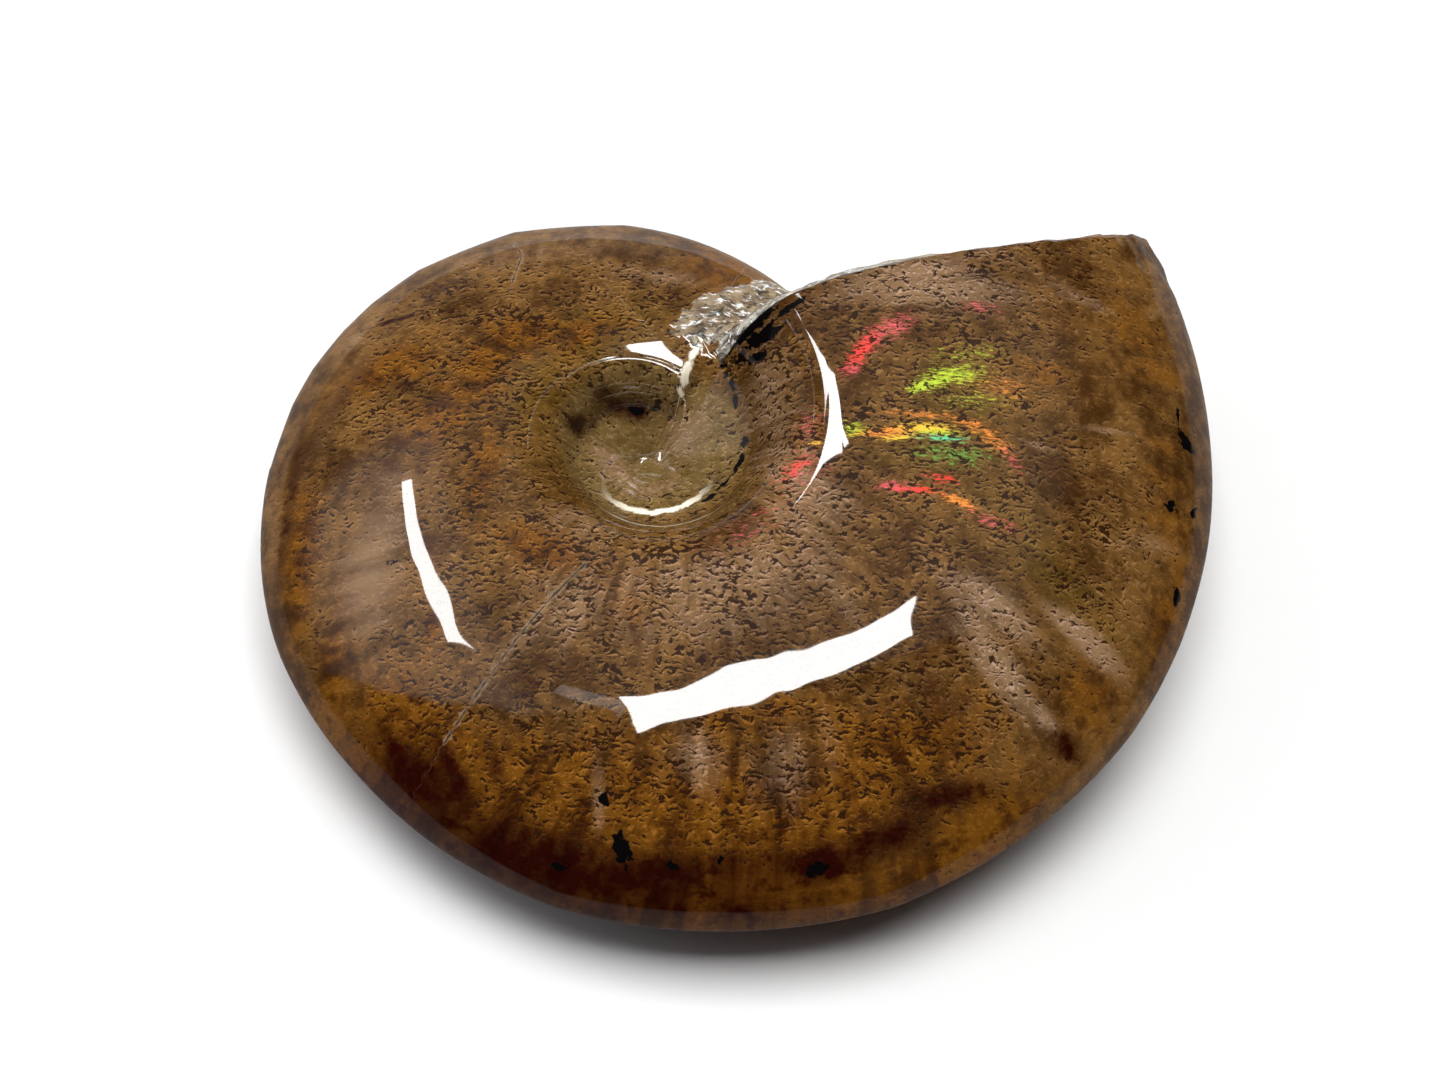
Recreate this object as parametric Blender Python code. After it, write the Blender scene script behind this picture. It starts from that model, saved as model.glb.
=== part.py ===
"""A polished whole ammonite, one solid stone, lying on its flank.

The shell is a plane coil. Its outline grows by a fixed ratio each turn, and every whorl has a
lens-shaped section that laps over the whorl before it. The surface
is one spiral grid: its columns run along the last whorl, from one turn before the mouth to the
mouth, and its rows run across, from the middle of the umbilicus to the venter, the outer edge.
The two ends of the grid meet inside the umbilicus, and the mouth face fills what is left open.
Metres, +Z up. The origin is on the surface that the stone rests on, under its middle.
"""

import math

import bmesh
import bpy
from mathutils import Matrix, Vector

# Driving dimensions
MOUTH_RADIUS = 0.029  # coil axis to venter, at the mouth
EXPANSION = 2.45  # growth of the radius in one turn
HALF_WIDTH = 0.232  # half the whorl's thickness at the mouth, over MOUTH_RADIUS
WIDTH_GROWTH = 0.70  # power of the radius by which the thickness grows
SEAM = 0.177  # radius of the umbilical seam, over the venter's
LAST_SEEN = SEAM * EXPANSION  # radius share at which a whorl goes under the next one's seam
SHOULDER = 0.313  # radius of the umbilical shoulder, over the venter's
FLANK_POWER = 2.0  # how early the flank starts to fall from the shoulder
VENTER_POWER = 1.45  # roundness of the outer edge: 2 is round, 1 is sharp
WALL_POWER = 2.2  # how steeply the umbilical wall starts at the seam
BOWL_FROM = -0.95  # turns back from the mouth where the umbilicus starts to be worn smooth
BOWL_TO = -0.99  # turns back by which the whorls inside are one plain bowl
OUT_OF_ROUND = ((1, -0.018, -0.015), (2, 0.014, -0.014))  # harmonic, cosine and sine shares

# The mouth
MOUTH_ANGLE = math.radians(27.6)  # direction of the venter at the mouth, from +X
LIP_SWEEP = math.radians(21.5)  # how far the lip leads at the seam
LIP_POWER = 2.5  # how late the lip starts to sweep forward
RAMP = math.radians(20.0)  # how far the mouth face runs out over the whorl before it
RAMP_RISE = 0.3  # how soon, from the seam, the run-out is reached
RAMP_FALL = 0.9  # how soon it is lost again toward the venter
MOUTH_BULGE = 0.0009  # swell of the stone that fills the mouth, on each flank

# How it lies
REST_TILT = math.radians(5.0)  # tilt of the coil's plane
REST_TILT_AXIS = math.radians(-28.0)  # direction of the level line it tilts about
REST_FACET = 0.00015  # depth worn flat where the underside meets the surface

# Grid
COLUMNS = 72
WALL_ROWS = 4  # seam to shoulder
NEAR_ROWS = 2  # shoulder to where the whorl before is last seen
FLANK_ROWS = 9  # from there to the venter
PERIOD = WALL_ROWS + NEAR_ROWS  # rows by which one whorl's grid is offset from the next
INNER_ROWS = 9  # rows of the whorls seen inside the seam
MOUTH_RINGS = 2  # rings between the lip and the whorl before
MERGE = 1e-6  # metres
SHARP = math.radians(40)  # edges sharper than this keep a crease in the shading

NAME = "ammonite"
COLOUR = (0.20, 0.115, 0.055, 1.0)
ROUGHNESS = 0.12


def flank_height(x):
    """Half thickness of the whorl between its shoulder and its venter."""
    t = min(max((x - SHOULDER) / (1 - SHOULDER), 0), 1)
    return HALF_WIDTH * (1 - t**FLANK_POWER) ** (1 / VENTER_POWER)


def height(x, turn):
    """Half thickness at radius share x, at a number of turns on from the mouth.

    Inside the seam lies the whorl before, one turn further back. Far enough back, the steps of
    the umbilicus are worn to a bowl that rises evenly from seam to seam.
    """
    shrink = EXPANSION**WIDTH_GROWTH
    if x < SEAM:
        return height(x * EXPANSION, turn - 1) / shrink
    foot = flank_height(LAST_SEEN) / shrink
    s = min((x - SEAM) / (SHOULDER - SEAM), 1)
    whorl = foot + (HALF_WIDTH - foot) * (1 - (1 - s) ** WALL_POWER)
    if x >= SHOULDER:
        whorl = flank_height(x)
    if x >= LAST_SEEN:
        return whorl
    bowl = foot * (x / SEAM) ** WIDTH_GROWTH
    worn = min(max((turn - BOWL_FROM) / (BOWL_TO - BOWL_FROM), 0), 1)
    worn = worn * worn * (3 - 2 * worn)
    return whorl + (bowl - whorl) * worn


def lip_lead(x):
    """Angle by which the lip leads the venter at radius share x."""
    t = min(max((1 - x) / (1 - SEAM), 0), 1)
    return LIP_SWEEP * t**LIP_POWER


def ramp_lead(x):
    """Further lead, at the foot of the mouth face, where it stands on the whorl before."""
    t = max((x - LAST_SEEN) / (1 - LAST_SEEN), 0)
    return RAMP * t**RAMP_RISE * (1 - t) ** RAMP_FALL


def out_of_round(angle):
    """Slow wander of the coil's radius around the turn."""
    return 1 + sum(a * math.cos(n * angle) + b * math.sin(n * angle) for n, a, b in OUT_OF_ROUND)


def surface_point(along, x):
    """Upper surface at share `along` of the last whorl and radius share x."""
    foot = lip_lead(x / EXPANSION) + ramp_lead(x)
    angle = MOUTH_ANGLE - math.tau * (1 - along) + foot * (1 - along) + lip_lead(x) * along
    growth = EXPANSION ** ((angle - MOUTH_ANGLE) / math.tau)
    radius = MOUTH_RADIUS * growth * x * out_of_round(angle)
    z = MOUTH_RADIUS * growth**WIDTH_GROWTH * height(x, along - 1)
    return Vector((radius * math.cos(angle), radius * math.sin(angle), z))


def grid_rows():
    """Radius shares of the rows, from the middle of the umbilicus to the venter.

    A row inside the seam lies where a row of the whorl before lies, one turn earlier, so it is
    that row's share divided by the expansion.
    """
    wall = [SEAM + (SHOULDER - SEAM) * i / WALL_ROWS for i in range(WALL_ROWS)]
    near = [SHOULDER + (LAST_SEEN - SHOULDER) * i / NEAR_ROWS for i in range(NEAR_ROWS)]
    turns = [math.sin(math.pi / 2 * i / FLANK_ROWS) for i in range(FLANK_ROWS + 1)]
    flank = [LAST_SEEN + (1 - LAST_SEEN) * s for s in turns]
    rows = wall + near + flank
    for _ in range(INNER_ROWS):
        rows.insert(0, rows[PERIOD - 1] / EXPANSION)
    return rows


def add_half(bm, rows, side):
    """One side of the shell, as a grid of vertices indexed by column and row.

    The last column shares the first one's vertices from the seam inward.
    """
    columns = []
    for j in range(COLUMNS + 1):
        column = []
        for i, x in enumerate(rows):
            if j == COLUMNS and i <= INNER_ROWS:
                column.append(columns[0][i + PERIOD])
                continue
            p = surface_point(j / COLUMNS, x)
            column.append(bm.verts.new((p.x, p.y, side * p.z)))
        columns.append(column)
    return columns


def add_quads(bm, columns, side):
    """Skin over neighbouring columns, facing out."""
    for a, b in zip(columns, columns[1:]):
        for i in range(len(a) - 1):
            corners = [a[i], a[i + 1], b[i + 1], b[i]]
            bm.faces.new(corners if side > 0 else corners[::-1])


def close_umbilicus(bm, columns, side):
    """A small fan over the middle of the coil, inside the innermost row."""
    rim = [column[0] for column in columns[:-1]]
    rim += [columns[0][i] for i in range(PERIOD, 0, -1)]
    level = sum(v.co.z for v in rim) / len(rim)
    centre = bm.verts.new((0, 0, level))
    for a, b in zip(rim, rim[1:] + rim[:1]):
        corners = [centre, a, b]
        bm.faces.new(corners if side > 0 else corners[::-1])


def length_shares(points):
    """Share of a polyline's length at each of its points."""
    total = [0.0]
    for a, b in zip(points, points[1:]):
        total.append(total[-1] + (b - a).length)
    return [t / total[-1] for t in total]


def point_at(points, shares, share):
    """Point of a polyline at a share of its length."""
    for a, b, s, t in zip(points, points[1:], shares, shares[1:]):
        if share <= t:
            return a.lerp(b, (share - s) / (t - s))
    return points[-1]


def mouth_ring(lip, foot, depth):
    """Points between the lip and the foot of the mouth face, swelling out on each flank."""
    outer = [v.co for v in lip]
    inner = [v.co for v in foot]
    outer_shares = length_shares(outer)
    inner_shares = length_shares(inner)
    ring = []
    for p, share in zip(outer[1:-1], outer_shares[1:-1]):
        q = p.lerp(point_at(inner, inner_shares, share), depth)
        swell = MOUTH_BULGE * 4 * depth * (1 - depth) * math.sin(math.tau * share) ** 2
        forward = Vector((-q.y, q.x, 0)).normalized()
        ring.append(q + forward * swell)
    return ring


def zip_strip(bm, a, b):
    """Triangles between two rows of vertices that share their first and last."""
    a_shares = length_shares([v.co for v in a])
    b_shares = length_shares([v.co for v in b])
    i, j = 0, 0
    while i < len(a) - 1 or j < len(b) - 1:
        step_a = j == len(b) - 1 or (i < len(a) - 1 and a_shares[i + 1] <= b_shares[j + 1])
        third = a[i + 1] if step_a else b[j + 1]
        if len({a[i], b[j], third}) == 3:
            bm.faces.new((a[i], third, b[j]))
        i, j = (i + 1, j) if step_a else (i, j + 1)


def add_mouth(bm, upper, lower):
    """The face inside the lip: a crescent from one umbilical seam round to the other."""
    seen = INNER_ROWS + PERIOD
    lip = upper[-1][INNER_ROWS:] + lower[-1][INNER_ROWS:-1][::-1]
    foot = upper[0][seen:] + lower[0][seen:-1][::-1]
    rings = [lip]
    for k in range(1, MOUTH_RINGS + 1):
        points = mouth_ring(lip, foot, k / (MOUTH_RINGS + 1))
        rings.append([lip[0]] + [bm.verts.new(p) for p in points] + [lip[-1]])
    rings.append(foot)
    for a, b in zip(rings, rings[1:]):
        zip_strip(bm, a, b)


def rest_on_flank(bm):
    """Tip the coil to the pose it settles in, and wear its underside flat there."""
    axis = Vector((math.cos(REST_TILT_AXIS), math.sin(REST_TILT_AXIS), 0))
    bmesh.ops.rotate(bm, verts=bm.verts, matrix=Matrix.Rotation(REST_TILT, 3, axis))
    floor = Vector((0, 0, min(v.co.z for v in bm.verts) + REST_FACET))
    everything = bm.verts[:] + bm.edges[:] + bm.faces[:]
    bmesh.ops.bisect_plane(
        bm, geom=everything, plane_co=floor, plane_no=(0, 0, 1), clear_inner=True, dist=MERGE
    )
    edge = [e for e in bm.edges if e.is_boundary]
    bmesh.ops.triangle_fill(bm, edges=edge, use_beauty=True, normal=(0, 0, -1))
    low = [min(v.co[i] for v in bm.verts) for i in range(3)]
    high = [max(v.co[i] for v in bm.verts) for i in range(3)]
    middle = Vector(((low[0] + high[0]) / 2, (low[1] + high[1]) / 2, low[2]))
    bmesh.ops.translate(bm, verts=bm.verts, vec=-middle)


def build_shell():
    """The whole stone as one closed mesh."""
    rows = grid_rows()
    bm = bmesh.new()
    upper = add_half(bm, rows, 1)
    lower = add_half(bm, rows, -1)
    add_quads(bm, upper, 1)
    add_quads(bm, lower, -1)
    close_umbilicus(bm, upper, 1)
    close_umbilicus(bm, lower, -1)
    add_mouth(bm, upper, lower)
    bmesh.ops.remove_doubles(bm, verts=[c[-1] for c in upper + lower], dist=MERGE)
    rest_on_flank(bm)
    bmesh.ops.recalc_face_normals(bm, faces=bm.faces)
    mesh = bpy.data.meshes.new(NAME)
    bm.to_mesh(mesh)
    bm.free()
    mesh.shade_smooth()
    mesh.set_sharp_from_angle(angle=SHARP)
    return mesh


def stone_material():
    material = bpy.data.materials.new("polished_fossil")
    material.use_nodes = True
    shader = material.node_tree.nodes["Principled BSDF"]
    shader.inputs["Base Color"].default_value = COLOUR
    shader.inputs["Roughness"].default_value = ROUGHNESS
    shader.inputs["Metallic"].default_value = 0.0
    material.diffuse_color = COLOUR
    return material


def main():
    for thing in list(bpy.data.objects):
        bpy.data.objects.remove(thing)
    collection = bpy.data.collections.new(NAME)
    bpy.context.scene.collection.children.link(collection)
    stone = bpy.data.objects.new(NAME, build_shell())
    stone.data.materials.append(stone_material())
    collection.objects.link(stone)


main()
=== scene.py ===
# %% [markdown]
# # A polished ammonite fossil
#
# The object is one stone: a coiled shell whose chambers filled with mineral, ground and polished
# until the outer wall became a clear, glossy skin over a speckled amber and taupe layer.
# The lesson builds it in four parts: the coil as a fine spiral grid, the marks that make this
# stone itself, the finishes, and the small studio around it.

import math

import bpy
import numpy as np
from mathutils import Matrix, Vector, noise


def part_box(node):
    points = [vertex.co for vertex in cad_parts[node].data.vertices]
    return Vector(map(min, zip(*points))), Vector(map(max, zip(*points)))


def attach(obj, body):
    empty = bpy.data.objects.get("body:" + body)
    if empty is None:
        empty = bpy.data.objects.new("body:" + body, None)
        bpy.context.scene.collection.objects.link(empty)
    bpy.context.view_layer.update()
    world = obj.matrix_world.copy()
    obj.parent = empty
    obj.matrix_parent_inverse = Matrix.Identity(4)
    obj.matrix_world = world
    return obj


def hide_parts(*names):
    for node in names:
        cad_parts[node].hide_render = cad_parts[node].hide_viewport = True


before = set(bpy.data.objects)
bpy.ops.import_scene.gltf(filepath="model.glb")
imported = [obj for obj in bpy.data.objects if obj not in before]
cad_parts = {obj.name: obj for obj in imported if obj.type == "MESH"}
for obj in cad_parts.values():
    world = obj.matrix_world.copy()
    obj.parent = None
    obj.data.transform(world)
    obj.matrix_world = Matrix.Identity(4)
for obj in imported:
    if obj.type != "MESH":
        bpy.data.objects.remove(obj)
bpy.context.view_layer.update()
part_low, part_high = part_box("ammonite")
length, depth, tall = part_high - part_low
print(f"the part is {length * 1000:.1f} x {depth * 1000:.1f} x {tall * 1000:.1f} mm")

# %% [markdown]
# ## The camera first
#
# The stone is seen from in front and well above, close enough that its near side looks larger.
# The camera is placed by the direction that it looks from: round by so much, up by so much, and
# this far away.

# %% Camera
LOOK_AROUND = math.radians(-7.1)
LOOK_UP = math.radians(62.1)
LOOK_ROLL = math.radians(7.9)
LOOK_FROM = 2.1 * length
LOOK_AT = Vector((-0.0009, 0.0010, 0.0050))
SENSOR_MM, LENS_MM = 36, 49.8


def direction(around, up):
    """Unit vector toward a place seen `around` from the front and `up` from the horizon."""
    level = math.cos(up)
    return Vector((math.sin(around) * level, -math.cos(around) * level, math.sin(up)))


def put_in_scene(name, data):
    """A new object, linked into the scene."""
    made = bpy.data.objects.new(name, data)
    bpy.context.scene.collection.objects.link(made)
    return made


lens = bpy.data.cameras.new("studio_camera")
lens.sensor_width = SENSOR_MM
lens.lens = LENS_MM
lens.clip_start = 0.005
camera = put_in_scene("studio_camera", lens)
toward = direction(LOOK_AROUND, LOOK_UP)
turned = toward.to_track_quat("Z", "Y").to_matrix() @ Matrix.Rotation(LOOK_ROLL, 3, "Z")
camera.matrix_world = Matrix.Translation(LOOK_AT + toward * LOOK_FROM) @ turned.to_4x4()
bpy.context.scene.camera = camera
print("camera at", [round(v * 1000, 1) for v in camera.location], "mm")

# %% [markdown]
# ## The coil
#
# An ammonite grows along a logarithmic spiral: each turn is the last one made larger, so one
# whorl's section, repeated and scaled, gives the whole shell. A screw modifier can't do this,
# because the section has to open onto the whorl before it. So the surface is computed: `turn`
# runs back from the mouth, and `share` runs across, from the umbilicus to the outer edge. All
# lengths are in mouth radii here: 1 is from the coil's centre to the outer edge at the mouth.

# %% Proportions of the coil
EXPANSION = 2.45
HALF_WIDTH = 0.232
WIDTH_GROWTH = 0.70
SEAM = 0.177
SHOULDER = 0.313
LAST_SEEN = SEAM * EXPANSION
FLANK_POWER = 2.0
VENTER_POWER = 1.45
WALL_POWER = 2.2
BOWL_FROM = -0.95
BOWL_TO = -0.99
MOUTH_ANGLE = math.radians(27.6)
LIP_SWEEP = math.radians(21.5)
LIP_POWER = 2.5
RAMP = math.radians(20.0)
RAMP_RISE = 0.3
RAMP_FALL = 0.9
REST_TILT = math.radians(5.0)
REST_TILT_AXIS = math.radians(-28.0)
SHRINK = EXPANSION**WIDTH_GROWTH


def smooth(edge0, edge1, value):
    """Zero before edge0, one past edge1, an even S between."""
    t = np.clip((value - edge0) / (edge1 - edge0), 0, 1)
    return t * t * (3 - 2 * t)


def flank_height(share):
    """Half thickness of a whorl from its shoulder to the outer edge."""
    t = np.clip((share - SHOULDER) / (1 - SHOULDER), 0, 1)
    return HALF_WIDTH * (1 - t**FLANK_POWER) ** (1 / VENTER_POWER)


def whorls_back(share):
    """How many seams lie between the last whorl and this share of the radius."""
    return np.ceil(np.maximum(np.log(SEAM / share) / math.log(EXPANSION) - 1e-9, 0))


def height(share, turn):
    """Half thickness anywhere: steps at the shoulders, worn to a bowl in the middle."""
    back = whorls_back(share)
    own = share * EXPANSION**back
    foot = flank_height(LAST_SEEN) / SHRINK
    s = np.clip((own - SEAM) / (SHOULDER - SEAM), 0, 1)
    wall = foot + (HALF_WIDTH - foot) * (1 - (1 - s) ** WALL_POWER)
    whorl = np.where(own < SHOULDER, wall, flank_height(own))
    bowl = foot * (own / SEAM) ** WIDTH_GROWTH
    worn = smooth(-BOWL_FROM, -BOWL_TO, back - turn) * (own < LAST_SEEN)
    return (whorl + (bowl - whorl) * worn) / SHRINK**back


def lip_lead(share):
    """How far the lip leads the outer edge, as an angle."""
    return LIP_SWEEP * np.clip((1 - share) / (1 - SEAM), 0, 1) ** LIP_POWER


def ramp_lead(share):
    """Further lead at the foot of the mouth face."""
    t = np.clip((share - LAST_SEEN) / (1 - LAST_SEEN), 0, 1)
    return RAMP * t**RAMP_RISE * (1 - t) ** RAMP_FALL


def out_of_round(angle):
    """The few hundredths by which the real coil strays from its spiral, round the turn."""
    return (
        1
        - 0.018 * np.cos(angle)
        - 0.015 * np.sin(angle)
        + 0.014 * np.cos(2 * angle)
        - 0.014 * np.sin(2 * angle)
    )


def coil(along, share):
    """Points of the upper flank in mouth radii, and the plan angle at each."""
    foot = lip_lead(share / EXPANSION) + ramp_lead(share)
    angle = MOUTH_ANGLE - math.tau * (1 - along) + foot * (1 - along) + lip_lead(share) * along
    growth = EXPANSION ** ((angle - MOUTH_ANGLE) / math.tau)
    radius = growth * share * out_of_round(angle)
    rise = growth**WIDTH_GROWTH * height(share, along - 1)
    return np.stack([radius * np.cos(angle), radius * np.sin(angle), rise], -1), angle


# %% [markdown]
# ### One grid for all the whorls
#
# Rows inside the seam are the rows of the whorl before, a turn earlier, so that the two ends of
# the strip meet point to point inside the umbilicus and the seams fall on rows of the grid.
# The flank that is looked at gets many rows, and the one it lies on fewer.

# %% Rows and columns
COLUMNS = 590


def row_shares(wall, near, flank, inner):
    """Shares of the rows, from the middle outward, and how many rows make one whorl."""
    rows = list(np.linspace(SEAM, SHOULDER, wall, endpoint=False))
    rows += list(np.linspace(SHOULDER, LAST_SEEN, near, endpoint=False))
    swing = np.linspace(0, 1, flank + 1)
    rows += list(LAST_SEEN + (1 - LAST_SEEN) * np.sin(math.pi / 2 * swing**0.9))
    for _ in range(inner):
        rows.insert(0, rows[wall + near - 1] / EXPANSION)
    return np.array(rows), wall + near, inner


class Side:
    """One flank of the shell as a grid of points with their vertex numbers."""

    def __init__(self, rows, period, inner, sign, first):
        self.period, self.inner, self.sign = period, inner, sign
        along = np.linspace(0, 1, COLUMNS + 1)[:, None]
        points, angle = coil(along, rows[None, :])
        points[..., 2] *= sign
        self.points = points
        self.along = np.broadcast_to(along, angle.shape)
        self.share = np.broadcast_to(rows[None, :], angle.shape)
        self.angle = angle
        self.number = first + np.arange(angle.size).reshape(angle.shape)
        self.number[-1, : inner + 1] = self.number[0, period : period + inner + 1]

    def quads(self):
        """Four numbers for each face of the grid, turned to face outward."""
        n = self.number
        faces = np.stack([n[:-1, :-1], n[:-1, 1:], n[1:, 1:], n[1:, :-1]], -1).reshape(-1, 4)
        return faces if self.sign > 0 else faces[:, ::-1]


upper = Side(*row_shares(14, 8, 58, 40), sign=1, first=0)
lower = Side(*row_shares(6, 3, 20, 14), sign=-1, first=upper.number.size)
lower.number[:, -1] = upper.number[:, -1]
print("grid points", upper.number.size + lower.number.size)

# %% [markdown]
# ### The mouth face
#
# Where the last whorl stops, broken stone fills the mouth: a crescent that runs from one seam
# round the outer edge to the other seam. It is a loft between the lip and the line where it
# stands on the whorl before, swelling out a little on each flank.

# %% Mouth face
MOUTH_RINGS = 14
MOUTH_BULGE = 0.031


def shares_of_length(points):
    """Share of the polyline's length at each point."""
    steps = np.linalg.norm(np.diff(points, axis=0), axis=1)
    total = np.concatenate([[0], np.cumsum(steps)])
    return total / total[-1]


def resampled(points, shares):
    """The same polyline with its points at other shares of its length."""
    at = shares_of_length(points)
    return np.stack([np.interp(shares, at, points[:, k]) for k in range(3)], -1)


def mouth_outline(column, side_rows):
    """Points and numbers of one column, over the outer edge from flank to flank."""
    up, down = (s.points[column, s.inner + start * s.period :] for s, start in side_rows)
    up_n, down_n = (s.number[column, s.inner + start * s.period :] for s, start in side_rows)
    return np.concatenate([up, down[-2::-1]]), np.concatenate([up_n, down_n[-2::-1]])


lip, lip_numbers = mouth_outline(-1, ((upper, 0), (lower, 0)))
foot, foot_numbers = mouth_outline(0, ((upper, 1), (lower, 1)))
lip_shares = shares_of_length(lip)
foot_on_lip = resampled(foot, lip_shares)
rings = []
for k in range(1, MOUTH_RINGS + 1):
    depth_share = k / (MOUTH_RINGS + 1)
    ring = lip + (foot_on_lip - lip) * depth_share
    ahead = np.stack([-ring[:, 1], ring[:, 0], 0 * ring[:, 0]], -1)
    ahead /= np.linalg.norm(ahead, axis=1)[:, None]
    bulge = MOUTH_BULGE * 4 * depth_share * (1 - depth_share)
    rings.append((ring + ahead * (bulge * np.sin(math.tau * lip_shares) ** 2)[:, None])[1:-1])
first_ring = upper.number.size + lower.number.size
ring_size = len(lip) - 2
mouth_faces = []
previous = lip_numbers
for k in range(MOUTH_RINGS):
    numbers = first_ring + k * ring_size + np.arange(ring_size)
    numbers = np.concatenate([lip_numbers[:1], numbers, lip_numbers[-1:]])
    for a, b, c, d in zip(previous, previous[1:], numbers[1:], numbers):
        corners = list(dict.fromkeys((a, b, c, d)))
        mouth_faces.append([int(v) for v in corners])
    previous = numbers


def zipped(a, a_shares, b, b_shares):
    """Triangles between two rows of numbers that start and end together."""
    i, j, faces = 0, 0, []
    while i < len(a) - 1 or j < len(b) - 1:
        step_a = j == len(b) - 1 or (i < len(a) - 1 and a_shares[i + 1] <= b_shares[j + 1])
        third = a[i + 1] if step_a else b[j + 1]
        if len({a[i], b[j], third}) == 3:
            faces.append([int(a[i]), int(third), int(b[j])])
        i, j = (i + 1, j) if step_a else (i, j + 1)
    return faces


mouth_faces += zipped(previous, lip_shares, foot_numbers, shares_of_length(foot))
print("mouth faces", len(mouth_faces))

# %% [markdown]
# ### Closing the middle
#
# The grid stops a little short of the coil's axis. A small fan on each side closes it there.

# %% Put the stone together
middle_first = first_ring + MOUTH_RINGS * ring_size


def fan(side, centre):
    """Triangles from the centre to the innermost row, all the way round."""
    rim = list(side.number[:-1, 0]) + list(side.number[0, side.period : 0 : -1])
    loop = zip(rim, rim[1:] + rim[:1])
    if side.sign > 0:
        return [[centre, int(a), int(b)] for a, b in loop]
    return [[int(b), int(a), centre] for a, b in loop]


def centre_point(side):
    """A point on the coil's axis, level with the side's innermost row."""
    return [0, 0, float(np.mean(side.points[:, 0, 2]))]


points = np.concatenate(
    [
        upper.points.reshape(-1, 3),
        lower.points.reshape(-1, 3),
        np.concatenate(rings),
        [centre_point(upper), centre_point(lower)],
    ]
)
skin_faces = upper.quads().tolist() + lower.quads().tolist()
skin_faces += fan(upper, middle_first) + fan(lower, middle_first + 1)
count = len(points)
print("points", count, "skin faces", len(skin_faces))

# %% [markdown]
# ### A surface that a hand has polished
#
# A ground and polished stone is never as even as its formula. Long low waves bend the edges of
# every reflection in it, and along the outer edge the grinding left short flats that meet in
# faint corners. Both are real shape, so they move the points themselves. From here on lengths
# are in millimetres, of which the mouth radius has 29. An ellipse is given by its centre, across
# and up the page, its half length, its half width, and its lean in degrees.

# %% Waves and rim flats
MILLIMETRE = 1 / 29.0
FAR = 9.0
RIM_CORNERS = (-150, -100, -62, -30, 96, 118, 137, 147, 154, 162, 169, 182, 200)
RIM_SAG = 0.16
CALM = (8, 0.5, 2.5, 4.5, 0)
millimetres = points / MILLIMETRE
across, up_page = millimetres[:, 0], millimetres[:, 1]
is_skin = np.arange(count) < first_ring
own_turn = np.zeros(count)
own_share = np.ones(count)
plan_angle = np.zeros(count)
for side in (upper, lower):
    back = whorls_back(side.share)
    own_turn[side.number] = side.along - 1 - back
    own_share[side.number] = side.share * EXPANSION**back
    plan_angle[side.number] = np.degrees(side.angle)
own_turn[middle_first:], own_share[middle_first:] = -2.0, 0.0
radius = np.hypot(points[:, 0], points[:, 1])


def waves(where, length_mm, seed):
    """Smooth noise of one wavelength, from -1 to 1, at points in millimetres."""
    shift = Vector((seed * 17.3, seed * 5.1, seed * 9.7))
    return np.array([noise.noise(Vector(p) / length_mm + shift) for p in where])


def ellipse(x, y, half_long, half_wide, lean):
    """Distance from an ellipse's centre to every point, where 1 is on its edge."""
    c, s = math.cos(math.radians(lean)), math.sin(math.radians(lean))
    right, forward = across - x, up_page - y
    return np.hypot((right * c + forward * s) / half_long, (forward * c - right * s) / half_wide)


def rim_flats(angle, share, depth_mm):
    """How far the outline sags between neighbouring corners of the ground rim."""
    corners = np.radians(sorted(RIM_CORNERS))
    position = np.searchsorted(corners, angle)
    inside = (position > 0) & (position < len(corners))
    left = corners[np.clip(position - 1, 0, len(corners) - 1)]
    right = corners[np.clip(position, 0, len(corners) - 1)]
    middle = (angle - left) / np.maximum(right - left, 1e-6) * 2 - 1
    sag = np.clip(1 - middle**2, 0, 1) * np.minimum((right - left) / 0.35, 1) ** 2
    return inside * sag * depth_mm * smooth(0.90, 1.0, share)


swell = 0.050 * waves(millimetres, 6.0, 1) + 0.014 * waves(millimetres, 2.4, 2)
swell += 0.0035 * waves(millimetres, 1.2, 10)
calm = np.exp(-(ellipse(*CALM) ** 2))
swell *= 1 - 0.85 * calm
wrapped = (np.radians(plan_angle) + math.pi) % math.tau - math.pi
sag = rim_flats(wrapped, own_share, RIM_SAG)
print(f"waves {swell.min():.3f} to {swell.max():.3f} mm, rim flats to {sag.max():.2f} mm")

# %% [markdown]
# The broken mouth was never polished. Its face is rough, the lip is chipped, and where the lip
# meets the keel a few small lumps stand on it. Beside the lip a ledge of broken shell is left on
# the whorl before, so its points are raised a little and remembered for the rough finish.

# %% Broken mouth and chipped lip
LIP_BAND = 0.16
TIP = (22.9, 11.8, 1.5, 0.7, 0)
LEDGE = (4.6, 7.4, 4.1, 1.6, 34)
near_lip = smooth(-0.035, -0.003, own_turn) * smooth(0.25, 0.45, own_share) * is_skin
chips = 0.10 * waves(millimetres, 0.9, 3) * near_lip
tip = np.exp(-(ellipse(*TIP) ** 2))
chips += 0.16 * tip * np.maximum(waves(millimetres, 0.75, 4) + 0.15, 0) * 2
face_points = slice(first_ring, middle_first)
inner_face = np.zeros(count)
inner_face[face_points] = 1.0
lip_gap = np.full(count, FAR)
gaps = points[face_points][:, None] - lip[None]
lip_gap[face_points] = np.linalg.norm(gaps, axis=2).min(1) / MILLIMETRE - LIP_BAND
lip_gap[lip_numbers] = -LIP_BAND
rough_face = inner_face * (0.16 * waves(millimetres, 1.3, 5) + 0.08 * waves(millimetres, 0.5, 6))
spread = ellipse(*LEDGE)
spread += 0.16 * waves(millimetres, 0.7, 7)
old_whorl = (own_turn < -0.9) & (own_turn > -1.1) & (points[:, 2] > 0) & is_skin
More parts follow.
